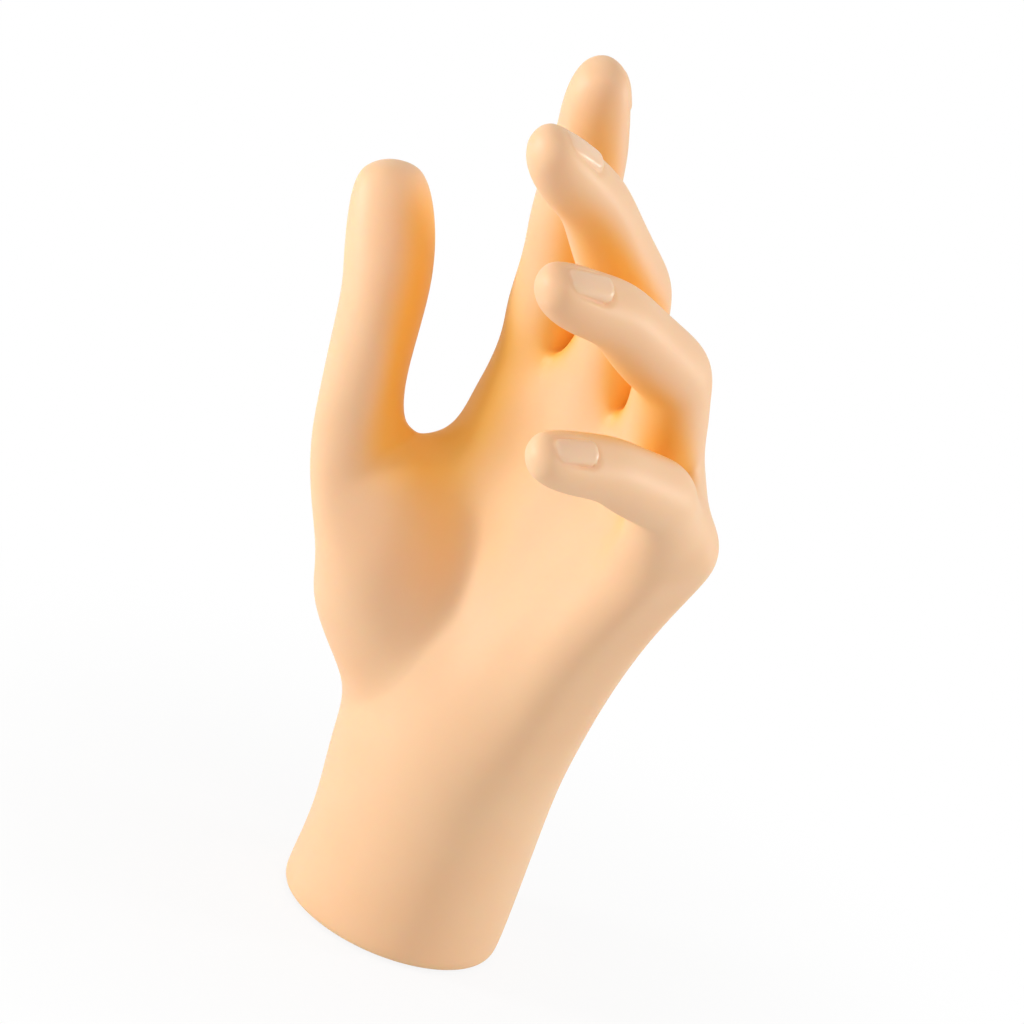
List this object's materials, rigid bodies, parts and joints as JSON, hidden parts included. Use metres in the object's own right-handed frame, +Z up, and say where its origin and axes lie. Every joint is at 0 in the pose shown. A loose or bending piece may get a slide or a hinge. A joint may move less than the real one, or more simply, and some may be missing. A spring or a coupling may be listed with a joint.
{
  "type": "ring display hand",
  "caption": "Upright moulded left hand with parted, softly curled fingers for holding rings, standing on a weighted push-in base plug.",
  "frame": {"origin": "centre of the resting face of the pad under the base plug", "axes": "+Z up along the wrist towards the fingertips, -Y the way the palm faces, +X towards the little finger"},
  "size_m": [0.0975, 0.0867, 0.1955],
  "materials": {
    "soft_vinyl": "smooth satin skin tone",
    "moulded_plug": "fine grained",
    "plated_steel": "dull plated",
    "zinc_screw": "bright zinc",
    "rubber_pad": "matt non-slip rubber"
  },
  "bodies": {
    "base": {"base_plug": "moulded_plug", "ballast_weight": "plated_steel", "ballast_screw_left": "zinc_screw", "ballast_screw_right": "zinc_screw", "base_pad": "rubber_pad"},
    "hand": {"hand_shell": "soft_vinyl"}
  },
  "joints": [
    {"name": "hand_lift", "type": "slide", "parent": "base", "child": "hand", "axis": [0, 0, 1], "range_m": [0, 0.03]}
  ]
}
